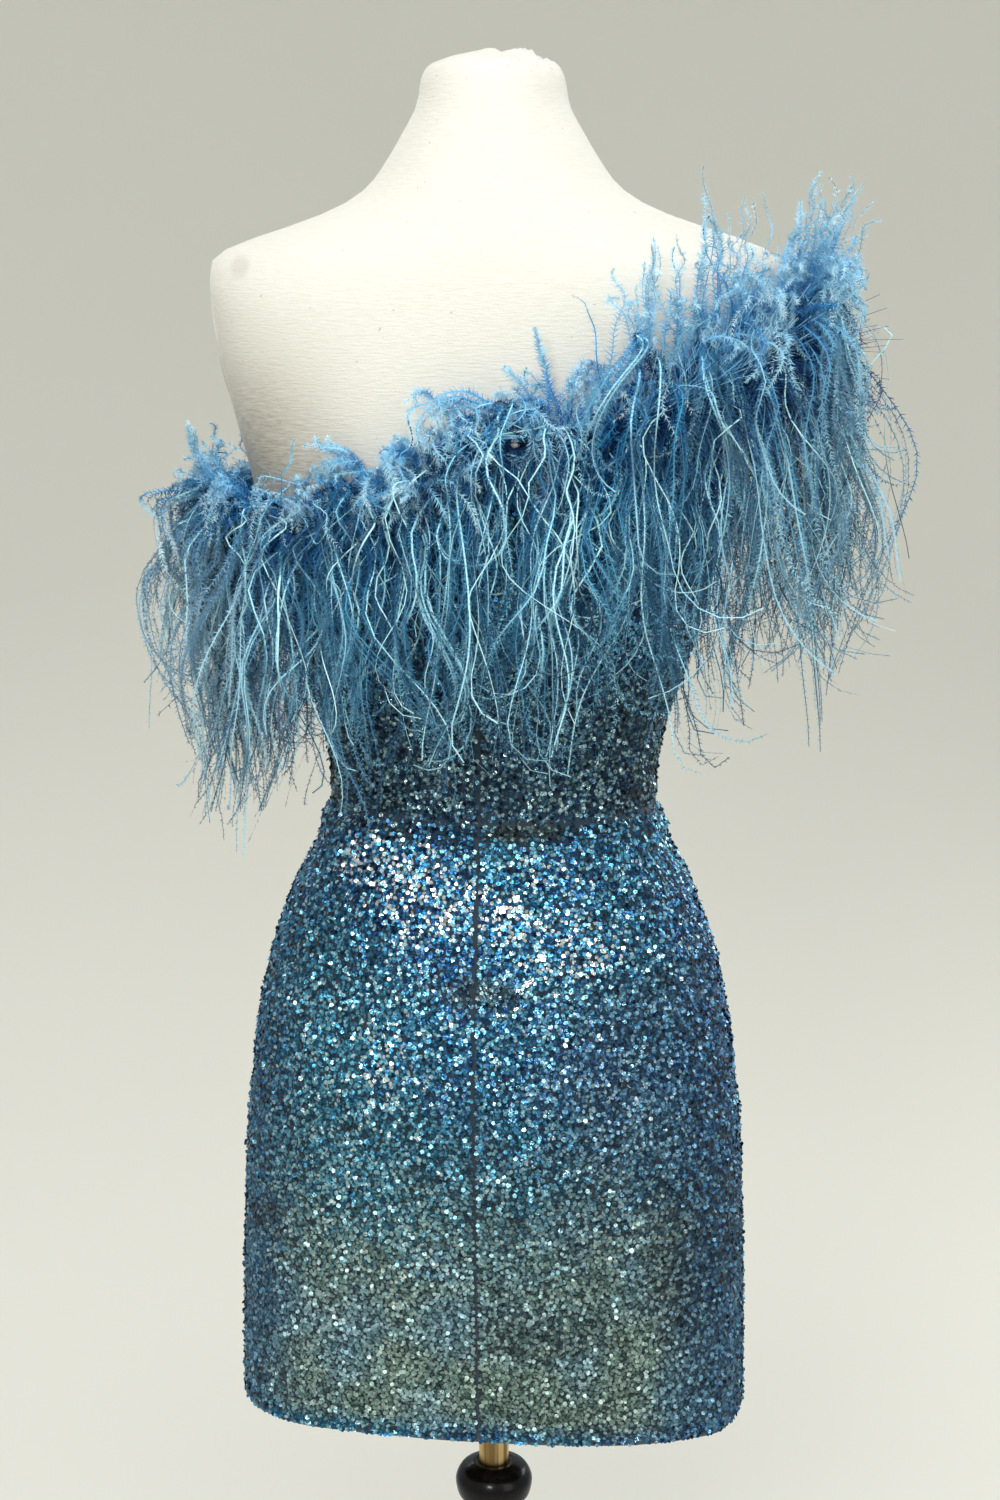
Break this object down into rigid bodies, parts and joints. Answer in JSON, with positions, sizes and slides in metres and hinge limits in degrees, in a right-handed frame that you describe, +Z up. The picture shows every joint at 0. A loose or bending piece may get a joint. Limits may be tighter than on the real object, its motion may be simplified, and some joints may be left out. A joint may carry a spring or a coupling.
{
  "type": "homecoming dress on dress form",
  "caption": "Short sequined sheath dress with a slanting feather-trimmed neckline, shown on a limbless dress form with a turned stand.",
  "frame": {"origin": "centre of the round base's underside, on the floor", "axes": "+Z up along the stand, -Y towards the dress's back, +X towards the high end of the neckline"},
  "size_m": [0.5325, 0.3472, 1.5],
  "materials": {
    "sequin_cloth": "gloss",
    "feather": "matte",
    "form_cover": "matte",
    "arm_plate": "satin",
    "pearl": "gloss",
    "brass": "satin",
    "black_wood": "gloss"
  },
  "bodies": {
    "root": {"dress_back_left": "sequin_cloth", "dress_back_right": "sequin_cloth", "dress_front": "sequin_cloth", "feather_trim": "feather", "pearl_pin": "pearl", "dress_form": "form_cover", "arm_plate_left": "arm_plate", "arm_plate_right": "arm_plate", "stand_tube": "brass", "stand_post": "black_wood", "stand_base": "black_wood"}
  },
  "joints": []
}
